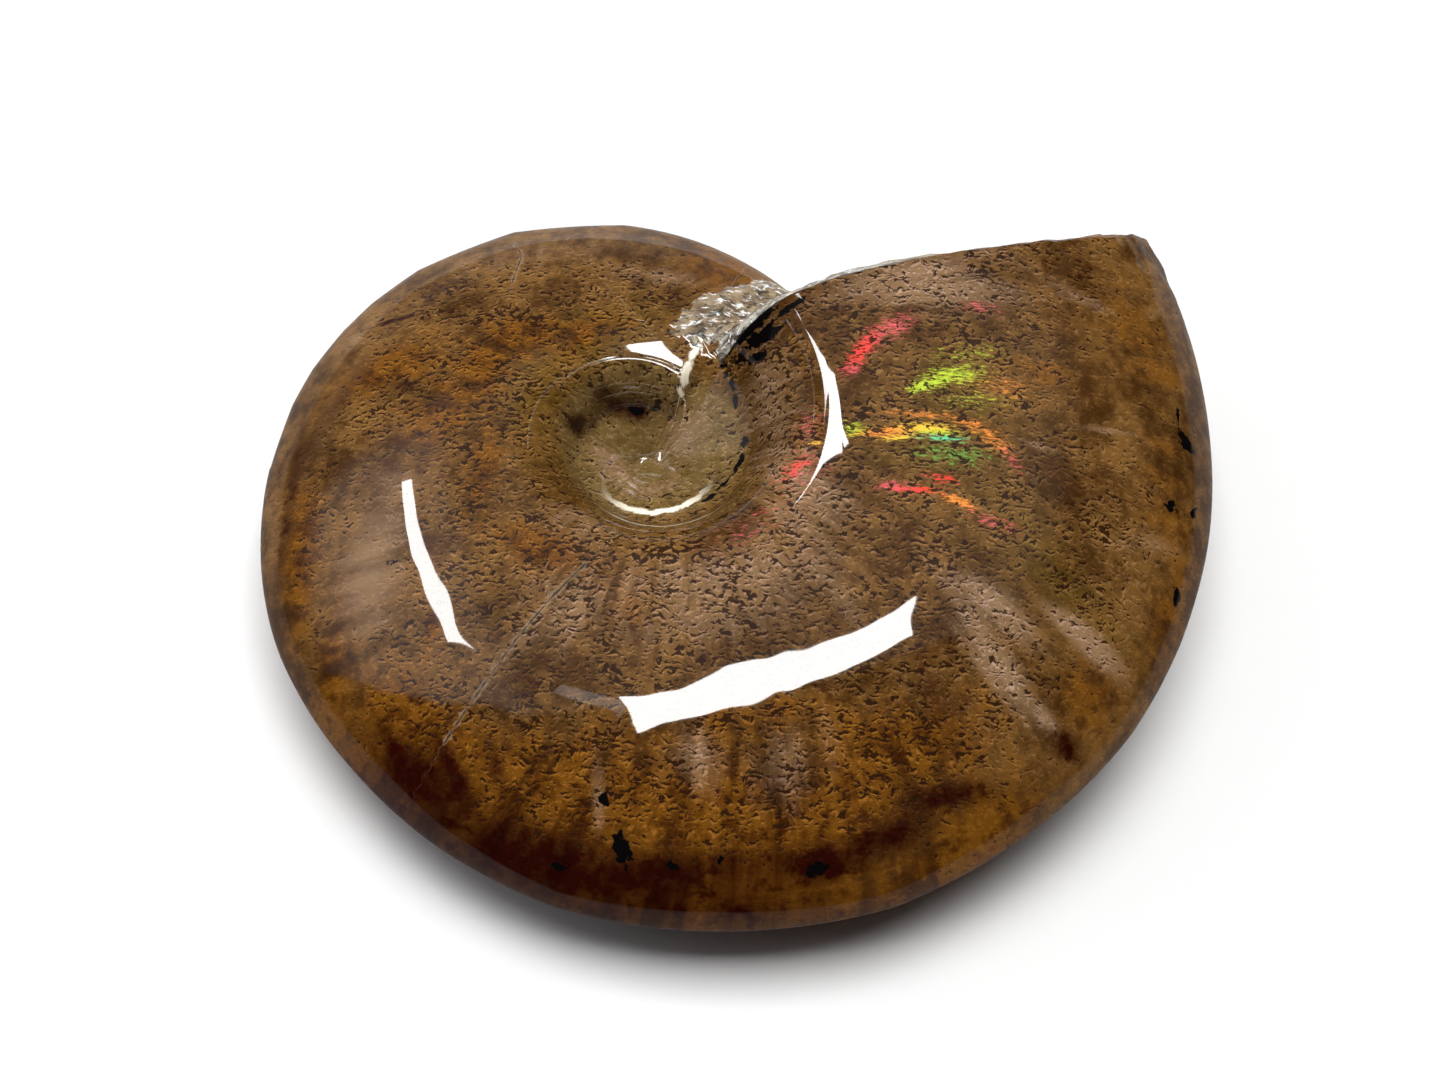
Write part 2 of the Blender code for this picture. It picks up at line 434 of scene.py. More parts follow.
spread = np.where(old_whorl, spread, FAR)
on_ledge = spread < 1.0
ledge = smooth(1.0, 0.55, spread)
rough_face += ledge * (0.32 + 0.20 * waves(millimetres, 1.0, 8) + 0.10 * waves(millimetres, 0.4, 9))
gaps = points[on_ledge][:, None] - lip[None]
lip_gap[on_ledge] = np.linalg.norm(gaps, axis=2).min(1) / MILLIMETRE - LIP_BAND
print("points on the broken ledge", int(on_ledge.sum()))
print(f"chips to {np.abs(chips).max():.2f} mm, mouth face {np.abs(rough_face).max():.2f} mm")

# %% [markdown]
# ## The marks of this stone
#
# Every polished ammonite carries its own map: amber where the mineral is clear, milky taupe where
# it is not, dark red near the keel, black specks, and a patch of pearl that splits light. They
# could be painted as an image. Here each mark is an ellipse in millimetres from the coil's centre,
# kept at the mesh's points, so that it stays sharp at any size and can be moved by a number.

# %% Helpers that paint by ellipse
on_top = np.ones(count)
on_top[lower.number] = 0.0
on_top[upper.number] = 1.0
on_top[middle_first + 1] = 0.0


def soft_marks(marks):
    """How strongly a list of soft ellipses covers each point, from 0 to 1."""
    clear = np.ones(count)
    for x, y, half_long, half_wide, lean, strength in marks:
        clear *= 1 - strength * np.exp(-(ellipse(x, y, half_long, half_wide, lean) ** 2))
    return 1 - clear


def nearest_edge(marks):
    """Distance in millimetres to the nearest sharp mark's edge, negative inside it."""
    found = np.full(count, FAR)
    for x, y, half_long, half_wide, lean in marks:
        reach = ellipse(x, y, half_long, half_wide, lean) - 1
        found = np.minimum(found, reach * math.sqrt(half_long * half_wide))
    return found


def beside_line(line):
    """Signed distance in millimetres to a line of points, so that its middle is exactly 0."""
    found = np.full(count, FAR)
    for (x0, y0), (x1, y1) in zip(line, line[1:]):
        run, rise = x1 - x0, y1 - y0
        size = math.hypot(run, rise)
        along_it = ((across - x0) * run + (up_page - y0) * rise) / size**2
        off = ((up_page - y0) * run - (across - x0) * rise) / size
        beyond = np.maximum(np.maximum(-along_it, along_it - 1), 0) * size
        full = np.copysign(np.hypot(off, beyond), off)
        found = np.where(np.abs(full) < np.abs(found), full, found)
    return found


# %% [markdown]
# Each soft zone is a list of ellipses with a strength. They overlap the way stains do, each
# covering part of what is left.

# %% Soft zones: amber, dark red with a painted shade, milky with painted haze, and olive
AMBER = (
    (-12, 3.6, 2.6, 1.3, 20, 0.85),
    (-9.8, 0.6, 2, 1.3, 80, 0.75),
    (-7.6, 3, 2.6, 1.2, 75, 0.75),
    (-6, 5, 1.6, 1.2, 20, 0.75),
    (-3.2, 5.2, 2.4, 1.1, 10, 0.7),
    (-7.2, -2, 2.6, 0.9, 80, 0.75),
    (-4.4, -6.2, 2.5, 0.9, -25, 0.9),
    (-0.8, -8.6, 1.7, 0.8, -60, 0.75),
    (-15.6, -5.5, 4.5, 1.1, 88, 0.8),
    (-13.6, -10.2, 2.4, 0.9, 80, 0.8),
    (-9.2, -9.2, 1.2, 0.4, 80, 0.8),
    (-9.5, -14, 4.2, 1.9, -38, 0.95),
    (-4, -16.6, 5, 2.4, -12, 0.9),
    (4, -17.4, 8, 2.6, 0, 0.95),
    (2, -21.5, 13, 2.2, 0, 0.9),
    (-11, -17, 6, 1.6, -42, 0.9),
    (14.5, -18, 5, 1.6, 32, 0.75),
    (5, -13.6, 6, 1.4, 4, 0.45),
    (11, -15, 4.5, 2, 25, 0.85),
    (19.5, -11.6, 2.2, 1.6, 50, 0.6),
    (18.2, 2.8, 2.4, 1.6, 30, 0.45),
    (23, 6, 2.2, 4, 20, 0.5),
    (24, -2, 1.6, 4, 5, 0.5),
    (15, 7.2, 3, 0.8, -8, 0.4),
    (23.5, -8, 1.2, 2.6, -20, 0.6),
    (3, 9.5, 2, 2.5, 40, 0.65),
)
DARK_RED_AND_SHADE = (
    (-4.5, -19, 4.6, 1.6, -10, 0.85),
    (-9.6, -15.6, 3.2, 1.2, -38, 0.85),
    (3, -21.2, 10, 1.2, 0, 0.6),
    (-11, -16.8, 5, 1.3, -42, 0.6),
    # Painted shade: this mark darkens the umbilical wall below the dome.
    (-1, 2.3, 2, 0.55, -8, 0.8),
    (-2.6, 1.6, 1, 0.5, 40, 0.55),
    (4, -19.2, 4, 0.8, 3, 0.35),
    (0.5, -19.8, 4.5, 0.7, 2, 0.7),
    (7.8, -19.3, 1.8, 0.8, 10, 0.95),
    (10.6, -18.2, 2.2, 0.8, 20, 0.8),
    (13.2, -16.4, 2.4, 0.7, 12, 0.85),
    (18.6, -13.9, 1.3, 0.7, -30, 0.85),
    (20.4, -11.4, 0.8, 1.1, 20, 0.35),
    (-8.2, -15.2, 2, 0.4, -62, 0.75),
    (-6.2, -15.4, 1.8, 0.4, -70, 0.55),
    (-10.8, -14.2, 1.5, 0.3, -58, 0.6),
    (-0.4, -10, 0.9, 0.3, -70, 0.5),
    (-3.3, 0.9, 0.6, 0.5, 20, 0.8),
    (-11.9, 6.7, 1.6, 0.22, 6, 0.85),
    (-14.4, 2, 2.6, 0.7, 60, 0.45),
    (-16.4, -3, 5, 0.5, 86, 0.6),
    (21.8, 4.2, 0.9, 0.3, -60, 0.5),
    (12.5, -12.4, 0.6, 2.4, 25, 0.45),
    (13.2, -9.2, 0.5, 1.6, 10, 0.45),
    (10, 7.6, 1.6, 0.4, 20, 0.5),
)
# Milky taupe of the filling, which here also carries a painted haze of the pale room reflected in
# the polish.
MILKY_AND_HAZE = (
    (-12.2, -6.8, 4, 1.7, 86, 0.62),
    (-11, -3, 2.5, 1, 75, 0.3),
    (5, -8.6, 7, 2.6, 8, 0.38),
    (-4, -8, 3.4, 2.6, 20, 0.3),
    (12, 6.6, 5, 2, 8, 0.45),
    (7, -4.5, 3, 1.6, 20, 0.45),
    (6.5, -2.6, 3, 1.6, -60, 0.45),
    (4, -15.5, 7, 1.6, 2, 0.2),
    (6.2, -16, 2.2, 1.4, 80, 0.5),
    (-5.5, 10.2, 4.2, 1.6, 8, 0.35),
    (1, 8.8, 3, 0.8, -6, 0.5),
    (-14, 6, 1.5, 0.8, 50, 0.45),
    (15.6, -8.6, 2.6, 0.9, -38, 0.98),
    (19.6, -9.4, 2.4, 0.7, -30, 0.92),
    (15.4, -11.2, 3, 0.8, -50, 0.92),
    (17.6, -13, 0.8, 0.4, -45, 0.8),
    (17.6, -0.9, 1.4, 0.25, -12, 0.55),
    (21, 0.4, 1.9, 0.22, 4, 0.6),
    (22.3, -4.7, 2.4, 0.7, 5, 0.45),
    (17, -2.2, 1.2, 0.2, -60, 0.55),
    (-4.2, -9.8, 3.2, 0.9, 35, 0.45),
    (2.2, -15.2, 0.8, 1.6, 10, 0.55),
    (-1.8, -16.8, 0.4, 1.8, 0, 0.6),
    (5.6, -15.4, 0.3, 1.2, 0, 0.4),
    (2, -9.6, 3, 1, 10, 0.3),
    (24.3, 7.8, 1.2, 0.4, 40, 0.4),
    (16, 9, 2.5, 0.7, -5, 0.4),
    (1.6, 1.2, 1.8, 1.2, 60, 0.6),
    (-1.6, -0.6, 1.6, 0.9, -50, 0.8),
    (0.8, -1.6, 1.6, 0.8, 10, 0.55),
    (5.6, 1.6, 3, 1.2, -80, 0.55),
    (3.4, -7.4, 4.5, 1, 8, 0.45),
    (-3.2, -4.6, 2.2, 0.8, -30, 0.4),
    (13, 7, 3.6, 1.3, 3, 0.75),
    (20, 7.4, 2.6, 0.5, -20, 0.4),
)
OLIVE = (
    (0, 0, 4.4, 3.8, 0, 0.95),
    (-2.2, 5.2, 2.6, 1.4, 15, 0.8),
    (-5, 2, 2, 1.4, 60, 0.5),
    (14.2, 0.6, 3.4, 2.8, 20, 0.55),
    (16.5, -5, 3.4, 1.6, -35, 0.5),
    (11.5, -1.9, 2.6, 0.6, 0, 0.55),
    (19, -8, 3, 1.2, -35, 0.45),
)
amber = soft_marks(AMBER)
dark_red_and_shade = soft_marks(DARK_RED_AND_SHADE)
milky_and_haze = soft_marks(MILKY_AND_HAZE)
olive = soft_marks(OLIVE)
# The umbilical bowl, whose own olive is painted lighter to make up for the shade in its hollow.
bowl = smooth(1.05, 0.85, ellipse(0.2, 0.2, 4.4, 3.9, 0)) * (own_turn < -0.2)
print(f"amber over {amber.mean():.0%}, milky over {milky_and_haze.mean():.0%} of the points")

# %% [markdown]
# Pearl layers split light only where they survived, so the patch is painted in strokes, each with
# the hue it turns at this angle.

# %% Pearl fire
RED, ROSE, ORANGE = (0.95, 0.06, 0.04), (0.85, 0.13, 0.15), (0.95, 0.30, 0.05)
GOLD, LIME, GREEN = (1.00, 0.62, 0.06), (0.55, 0.72, 0.05), (0.16, 0.42, 0.07)
SEA = (0.12, 0.80, 0.42)
FIRE = (
    (9.7, 3.2, 1.1, 0.35, 55, 1, RED),
    (11, 4.3, 1.5, 0.55, 35, 0.6, ROSE),
    (9.2, 2.2, 0.6, 0.3, 40, 0.6, ROSE),
    (15.2, 5.8, 0.9, 0.35, -5, 0.55, ROSE),
    (12.5, 1.6, 1, 0.28, 22, 1, LIME),
    (13.9, 2.2, 1.4, 0.45, 8, 0.7, LIME),
    (14.6, 3.4, 1.8, 0.5, 10, 0.35, LIME),
    (16, 1.8, 1.2, 0.6, 0, 0.4, ORANGE),
    (14.6, 1, 1.8, 0.5, 0, 0.3, LIME),
    (10.8, -0.75, 1.4, 0.2, 8, 1, ORANGE),
    (12.4, -0.45, 1.2, 0.22, 2, 0.95, GOLD),
    (11.2, -1.05, 0.9, 0.1, 8, 1, GOLD),
    (9.1, -0.7, 0.6, 0.35, 0, 0.7, LIME),
    (13.3, -0.95, 1, 0.1, 0, 1, SEA),
    (12.9, -0.7, 1.3, 0.14, 0, 0.8, LIME),
    (12.2, 0.15, 1.9, 0.2, 0, 0.55, ORANGE),
    (14.6, -0.2, 1, 0.25, -10, 0.55, ORANGE),
    (13.6, -1.7, 1.7, 0.6, 0, 0.55, GREEN),
    (15.5, -0.9, 1, 0.4, -30, 0.55, ORANGE),
    (16.3, -1.7, 0.8, 0.25, -55, 0.5, ROSE),
    (12, -3.45, 1, 0.16, 2, 1, RED),
    (10.9, -3.35, 0.7, 0.3, 0, 0.65, ROSE),
    (13.1, -2.85, 0.8, 0.22, -5, 0.65, RED),
    (13.8, -3.9, 0.8, 0.25, -18, 0.85, ORANGE),
    (15.3, -4.7, 1.2, 0.35, -14, 0.5, ROSE),
    (6.6, -2.5, 0.8, 0.35, 35, 0.65, RED),
    (7.5, -1.35, 0.6, 0.1, 8, 0.8, GOLD),
    (7.2, -0.4, 0.9, 0.6, 60, 0.4, ROSE),
    (4.2, -5.4, 2.6, 1.1, 28, 0.18, ROSE),
    (7.2, -2.6, 1.8, 1.1, 30, 0.24, ROSE),
    (8.2, -9.7, 0.13, 0.13, 0, 1, RED),
)
pearl = soft_marks([stroke[:6] for stroke in FIRE])
weight = np.full(count, 1e-6)
pearl_hue = np.zeros((count, 3)) + [1e-6, 0, 0]
for x, y, half_long, half_wide, lean, strength, hue in FIRE:
    share_of_it = strength * np.exp(-1.5 * ellipse(x, y, half_long, half_wide, lean) ** 2)
    weight += share_of_it
    pearl_hue += share_of_it[:, None] * hue
pearl_hue /= weight[:, None]
print("strokes of pearl fire:", len(FIRE))

# %% [markdown]
# The sharp marks need a distance, not a strength. A painted highlight runs along the seam where
# two whorls meet, which is a part of a circle, and along the step by the lip, a short line. The
# last two lists say where there are fewer pits and where the polish is left off.

# %% Specks, cracks, the seam's painted highlight, and where the pits are
BLACK_SPECKS = (
    (-1.6, -16.9, 0.3, 0.24, 20),
    (-0.9, -18.2, 0.16, 0.1, 70),
    (-0.75, -18.9, 0.65, 0.34, -72),
    (3.4, -19.3, 0.32, 0.14, 75),
    (7.6, -19.5, 0.5, 0.28, 15),
    (1.4, -19.5, 0.25, 0.15, 0),
    (25.2, 0.9, 0.5, 0.36, -40),
    (24.9, 2.4, 0.75, 0.07, 84),
    (24.1, -2.5, 0.34, 0.24, 0),
    (25.4, -2.4, 0.3, 0.14, 60),
    (24.3, -6.6, 0.5, 0.18, 75),
    (-3.4, -19.4, 0.35, 0.16, 0),
    (4.6, 4.75, 1.3, 0.3, 24),
    (5.2, 4.2, 0.8, 0.3, 10),
    (5, 3.5, 0.45, 0.2, -10),
    (6.4, 5.2, 0.9, 0.14, 36),
    (4.2, 3.8, 0.34, 0.16, -30),
    (3.5, 3.7, 0.3, 0.12, -70),
    (3.85, 3, 0.36, 0.13, -75),
    (4.05, 2.2, 0.3, 0.1, -85),
    (4.5, 0.1, 0.4, 0.15, 75),
    (4.2, -0.9, 0.5, 0.15, 60),
    (3.6, -1.8, 0.55, 0.13, 48),
    (2.9, -2.5, 0.5, 0.1, 25),
    (-0.5, 2.25, 0.55, 0.16, -8),
    (0.3, 2.35, 0.4, 0.13, 14),
    (-1.6, 3.7, 0.4, 0.07, 10),
    (-3.3, 1, 0.22, 0.14, 30),
    (-11.1, -6.3, 0.2, 0.2, 0),
)
specks = np.where(on_top > 0.5, nearest_edge(BLACK_SPECKS), FAR)
CRACK_LINES = (
    ((-2.6, -6.9), (-4.0, -8.4), (-5.4, -10.1), (-7.0, -12.3), (-8.4, -14.2)),
    ((-6.6, 11.3), (-6.2, 10.2), (-6.5, 8.4)),
)
cracks = np.full(count, FAR)
for line in CRACK_LINES:
    beside = beside_line(line)
    cracks = np.where(np.abs(beside) < np.abs(cracks), beside, cracks)
cracks = np.where(on_top > 0.5, cracks, FAR)
# Painted highlight: where it runs, and the bearing round the seam at which it is brightest.
LIP_STEP = ((2.45, 5.3), (1.95, 4.1), (1.5, 2.7))
SEAM_CENTRE, SEAM_RADIUS = (0.3, 0.0), 3.15
HIGHLIGHT_BRIGHTEST_AT, HIGHLIGHT_SPREAD_DEG = -85, 40
highlight_off = np.hypot(across - SEAM_CENTRE[0], up_page - SEAM_CENTRE[1]) - SEAM_RADIUS
step_off = beside_line(LIP_STEP)
seam_turn = np.degrees(np.arctan2(up_page - SEAM_CENTRE[1], across - SEAM_CENTRE[0]))
highlight_strength = np.exp(-(((seam_turn - HIGHLIGHT_BRIGHTEST_AT) / HIGHLIGHT_SPREAD_DEG) ** 4))
highlight_strength *= (own_turn < -0.5) * on_top
by_step = np.abs(step_off) < np.abs(highlight_off)
highlight_off = np.where(by_step, step_off, highlight_off)
highlight_strength = np.where(by_step, on_top, highlight_strength)
UNPITTED = (
    (-12.4, -6.5, 4.5, 1.8, 84, 0.85),
    (-4, 11, 8, 1.6, 6, 0.7),
    (-15, 3, 5, 2, 60, 0.6),
    (22, 3, 3.5, 6, 0, 0.55),
    (0, 0, 3.6, 3, 0, 0.55),
    (18, -9.5, 3, 1.4, -40, 0.6),
    (0, -20, 9, 1.2, 0, 0.6),
    (3, 9.5, 2.5, 2, 40, 0.7),
)
pitted = (1 - soft_marks(UNPITTED)) * (1 - 0.7 * smooth(0.80, 0.98, own_share))
UNPOLISHED = (
    (5.9, 2.2, 3.4, 1.2, -85, 0.97),
    (5.4, -1, 1.8, 0.9, 70, 0.8),
    (5.5, 4.8, 1.8, 0.7, 38, 0.9),
)
from_centre = np.hypot(across, up_page)
bearing = (plan_angle + 90) % 360 - 90


def worn_arc(reach, half_wide, start, end):
    """A curved strip round the coil's centre, in millimetres and degrees."""
    strip = np.exp(-(((from_centre - reach) / half_wide) ** 4)) * on_top
    return strip * smooth(start - 6, start + 6, bearing) * smooth(end + 6, end - 6, bearing)


polish = 1 - soft_marks(UNPOLISHED) * on_top
polish *= 1 - 0.97 * worn_arc(4.9, 1.15, 116, 235)
polish *= 1 - 0.97 * worn_arc(7.62, 0.34, -8, 38)
polish *= 1 - 0.72 * smooth(0.80, 0.93, own_share)
print("black specks:", len(BLACK_SPECKS), "cracks:", len(CRACK_LINES))

# %% [markdown]
# ### Into Blender
#
# The points become one mesh. It is moved along its own normals by the waves, tipped to the pose
# the stone settles in, and worn flat where it touches, as the part it stands for is.

# %% Make the stone's mesh
mesh = bpy.data.meshes.new("polished_shell")
used = np.zeros(count, bool)
all_faces = skin_faces + mouth_faces
for face in all_faces:
    used[face] = True
renumber = np.cumsum(used) - 1
kept_faces = [[int(renumber[v]) for v in face] for face in all_faces]
mesh.from_pydata(points[used].tolist(), [], kept_faces)
mesh.update()
normals = np.zeros(len(mesh.vertices) * 3)
mesh.vertices.foreach_get("normal", normals)
normals = normals.reshape(-1, 3)
lift = np.where(is_skin, swell, 0) + chips + rough_face
shifted = points[used] + normals * (lift[used] * MILLIMETRE)[:, None]
outward = shifted * [1, 1, 0] / np.maximum(radius[used], 1e-6)[:, None]
shifted -= outward * (sag[used] * MILLIMETRE)[:, None]

axis = Vector((math.cos(REST_TILT_AXIS), math.sin(REST_TILT_AXIS), 0))
tilt = np.array(Matrix.Rotation(REST_TILT, 3, axis))
resting = shifted @ tilt.T
span = resting.max(0) - resting.min(0)
resting *= length / span[0]
ends = resting.min(0), resting.max(0)
resting -= [(ends[0][0] + ends[1][0]) / 2, (ends[0][1] + ends[1][1]) / 2, 0]
resting[:, 2] += tall - ends[1][2]
resting[:, 2] = np.maximum(resting[:, 2], 0)
mesh.vertices.foreach_set("co", resting.ravel())
mesh.update()
stone = put_in_scene("polished_shell", mesh)
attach(stone, "root")
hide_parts("ammonite")
mesh.shade_smooth()
low, high = resting.min(0), resting.max(0)
print("stone", ((high - low) * 1000).round(2), "mm, faces", len(mesh.polygons))


def note(name, values, kind="FLOAT"):
    """Keep a value at every point, for the finishes to read by its name."""
    attribute = mesh.attributes.new(name, kind, "POINT")
    flat = np.asarray(values, dtype=np.float32)[used].ravel()
    attribute.data.foreach_set("value" if kind == "FLOAT" else "vector", flat)


note("plan_mm", millimetres, "FLOAT_VECTOR")
note("pearl_hue", pearl_hue, "FLOAT_VECTOR")
for name, values in (
    ("turn", own_turn),
    ("share", own_share),
    ("lip_gap", lip_gap),
    ("amber", amber),
    ("dark_red_and_shade", dark_red_and_shade),
    ("milky_and_haze", milky_and_haze),
    ("olive", olive),
    ("bowl", bowl),
    ("pearl", pearl * on_top),
    ("specks", specks),
    ("cracks", cracks),
    ("highlight_off", highlight_off),
    ("highlight_strength", highlight_strength),
    ("pitted", pitted),
    ("polish", polish),
):
    note(name, values)
print("marks kept at the points:", len(mesh.attributes))

# %% [markdown]
# ## The finish
#
# A polished fossil is two surfaces at once: a clear, glossy skin, and under it a pitted layer that
# light goes into and comes back from brown. A coat over a rough base gives that. The pits bend
# only the base, so the reflections stay clean, as they do on the stone.
#
# What both the skin and the broken mouth share, their pits, clouds and ragged marks, is built
# once as node groups and placed in each material with its own values.

# %% Helpers for nodes
def feed(tree, node, inputs):
    """Link or set a node's inputs, given by name or by number."""
    for name, value in inputs.items():
        if isinstance(value, bpy.types.NodeSocket):
            tree.links.new(value, node.inputs[name])
        else:
            node.inputs[name].default_value = value
    return node


def add(tree, kind, inputs=None, **settings):
    """One shader node, with its settings, and its inputs linked or set."""
    made = tree.nodes.new("ShaderNode" + kind)
    for name, value in settings.items():
        setattr(made, name, value)
    return feed(tree, made, inputs or {})


def sums(tree, operation, first, second=0.0, clamp=False):
    """One step of arithmetic on values."""
    inputs = {0: first, 1: second}
    return add(tree, "Math", inputs, operation=operation, use_clamp=clamp).outputs[0]


def times(tree, first, second):
    """The product of two values."""
    return sums(tree, "MULTIPLY", first, second)


def minus(tree, first, second):
    """What is left of the first value without the second."""
    return sums(tree, "SUBTRACT", first, second)


def vectors(tree, operation, *values):
    """One step of arithmetic on vectors."""
    return add(tree, "VectorMath", dict(enumerate(values)), operation=operation).outputs[0]


def ramp(tree, value, start, end):
    """A smooth rise from 0 where the value is `start` to 1 where it is `end`."""
    low, high, first, last = (start, end, 0.0, 1.0) if start < end else (end, start, 1.0, 0.0)
    inputs = {"Value": value, "From Min": low, "From Max": high, "To Min": first, "To Max": last}
    return add(tree, "MapRange", inputs, interpolation_type="SMOOTHSTEP").outputs[0]


def blend(tree, share, first, second, how="MIX"):
    """Mix two colours by a share from 0 to 1."""
    colours = {"A": first, "B": second}
    inputs = {name: (*c, 1) if isinstance(c, tuple) else c for name, c in colours.items()}
    made = add(tree, "Mix", {"Factor": share, **inputs}, data_type="RGBA", blend_type=how)
    return made.outputs["Result"]


def kept(tree, name, output="Fac"):
    """A value that was kept at the mesh's points."""
    return add(tree, "Attribute", attribute_name=name).outputs[output]


def grain(tree, place, size_mm, detail=2.0, roughness=0.5, output="Fac"):
    """Noise with lumps of the given size, one number for each direction or one for all."""
    sizes = size_mm if isinstance(size_mm, tuple) else (size_mm,) * 3
    scaled = vectors(tree, "MULTIPLY", place, [1 / v for v in sizes])
    inputs = {"Vector": scaled, "Scale": 1.0, "Detail": detail, "Roughness": roughness}
    return add(tree, "TexNoise", inputs).outputs[output]


def group_called(name, inputs, outputs):
    """An empty node group with named sockets."""
    made = bpy.data.node_groups.new(name, "ShaderNodeTree")
    for side_of_it, sockets in (("INPUT", inputs), ("OUTPUT", outputs)):
        for label, kind in sockets:
            made.interface.new_socket(label, in_out=side_of_it, socket_type="NodeSocket" + kind)
    return made, made.nodes.new("NodeGroupInput").outputs, made.nodes.new("NodeGroupOutput").inputs


def placed(tree, group, inputs):
    """Place a node group in a material."""
    made = tree.nodes.new("ShaderNodeGroup")
    made.node_tree = group
    return feed(tree, made, inputs).outputs


# %% [markdown]
# ### Pits
#
# The layer under the polish is full of short, wavy dents that run roughly the same way. Noise
# that is longer across than down, bent by a slower noise, has just such troughs. A second look at
# the same noise, a tenth of a millimetre further on, finds the side of each dent that faces the
# light, which gets a painted highlight. A third, slow noise crowds the dents in some places and
# thins them out in others.

# %% Pits group
pits_group, given, out = group_called(
    "dented_layer",
    (("Place", "Vector"), ("Amount", "Float")),
    (("Dents", "Float"), ("Painted lit sides", "Float"), ("Height", "Float")),
)
DENT = (0.34, 0.175, 0.30)
HALF = (0.5, 0.5, 0.5)
BEND = (0.45, 0.75, 0.6)
TO_LIT_SIDE = (-0.03, 0.085, 0.0)
slow = grain(pits_group, given["Place"], 0.9, 2.0, output="Color")
bent = vectors(pits_group, "SUBTRACT", slow, HALF)
bent_place = vectors(pits_group, "MULTIPLY_ADD", bent, BEND, given["Place"])
dent_noise = grain(pits_group, bent_place, DENT, 3.0, 0.6)
beside_dent = vectors(pits_group, "ADD", bent_place, TO_LIT_SIDE)
lit_side_noise = grain(pits_group, beside_dent, DENT, 3.0, 0.6)
fewer = times(pits_group, minus(pits_group, given["Amount"], 1.0), 0.16)
crowded = grain(pits_group, given["Place"], 1.7, 2.0)
crowding = times(pits_group, minus(pits_group, crowded, 0.5), 0.30)
sunk = minus(pits_group, minus(pits_group, dent_noise, fewer), crowding)
dents = ramp(pits_group, sunk, 0.480, 0.405)
lit_sides = times(pits_group, ramp(pits_group, lit_side_noise, 0.47, 0.40), given["Amount"])
lit_sides = times(pits_group, lit_sides, minus(pits_group, 1.0, dents))
pits_group.links.new(dents, out["Dents"])
pits_group.links.new(lit_sides, out["Painted lit sides"])
pits_group.links.new(ramp(pits_group, dent_noise, 0.3, 0.6), out["Height"])
print("pits", DENT, "mm")

# %% [markdown]
# Clouds are the slow changes of the filling, and the mottle is its grain. Growth bands follow the
# shell's own turning, so their noise is read in turns and shares, and fans out as the shell does.

# %% Clouds and growth bands group
cloud_group, given, out = group_called(
    "clouds_and_growth_bands",
    (("Place", "Vector"), ("Turn", "Float"), ("Share", "Float")),
    (("Clouds", "Float"), ("Mottle", "Float"), ("Bands", "Float")),
)
cloud_group.links.new(grain(cloud_group, given["Place"], 3.4, 3.0, 0.6), out["Clouds"])
cloud_group.links.new(grain(cloud_group, given["Place"], 0.75, 3.0, 0.6), out["Mottle"])
spiral = add(cloud_group, "CombineXYZ", {"X": given["Turn"], "Y": given["Share"]}).outputs[0]
bands = grain(cloud_group, spiral, (0.0125, 0.42, 1.0), 4.0, 0.6)
cloud_group.links.new(bands, out["Bands"])

# %% [markdown]
# A sharp mark is kept as a distance to its edge, which stays exact between points. The group tears
# that edge with fine noise and turns it into a mask, and each material says how ragged.

# %% Ragged mark group
mark_group, given, out = group_called(
    "ragged_mark",
    (("Distance", "Float"), ("Place", "Vector"), ("Raggedness", "Float"), ("Blur", "Float")),
    (("Mark", "Float"),),
)
uneven = minus(mark_group, grain(mark_group, given["Place"], 0.35, 3.0), 0.5)
torn = times(mark_group, uneven, given["Raggedness"])
torn_gap = sums(mark_group, "ADD", given["Distance"], torn)
mark = sums(mark_group, "SUBTRACT", 0.5, sums(mark_group, "DIVIDE", torn_gap, given["Blur"]), True)
mark_group.links.new(mark, out["Mark"])

# %% [markdown]
# ### The polished skin
#
# The colours go on in the order in which the stone grew them: ground colour, olive, the bowl
# painted lighter, amber, milk with painted haze, dark red with a painted shade, then the dents with
# their painted lit sides, the pearl, and last the cracks, the painted seam highlight and the black
# specks.

# %% Polished stone
STONE_DARK, STONE_LIGHT = (0.054, 0.021, 0.004), (0.190, 0.092, 0.023)
OLIVE_TONE, MILK_AND_HAZE_TONE = (0.120, 0.068, 0.010), (0.265, 0.158, 0.078)
AMBER_DEEP, AMBER_CLEAR = (0.040, 0.009, 0.0010), (0.165, 0.062, 0.006)
LIGHTENED_BOWL_DEEP, LIGHTENED_BOWL_PALE = (0.050, 0.028, 0.005), (0.25, 0.155, 0.050)
DENT_TONE, SEAM_HIGHLIGHT_TONE, DUST_TONE = (0.022, 0.008, 0.003), (1.0, 0.92, 0.74), (0.42, 0.30, 0.19)
LIT_SIDE_GAIN = (2.1, 2.3, 3.4)
RED_AND_SHADE_TONE, BLACK_TONE = (0.020, 0.0022, 0.0008), (0.0025, 0.0020, 0.0020)


def material_called(name):
    """A new material, its node tree, and the Principled shader in it."""
    made = bpy.data.materials.new(name)
    made.use_nodes = True
    return made, made.node_tree, made.node_tree.nodes["Principled BSDF"]


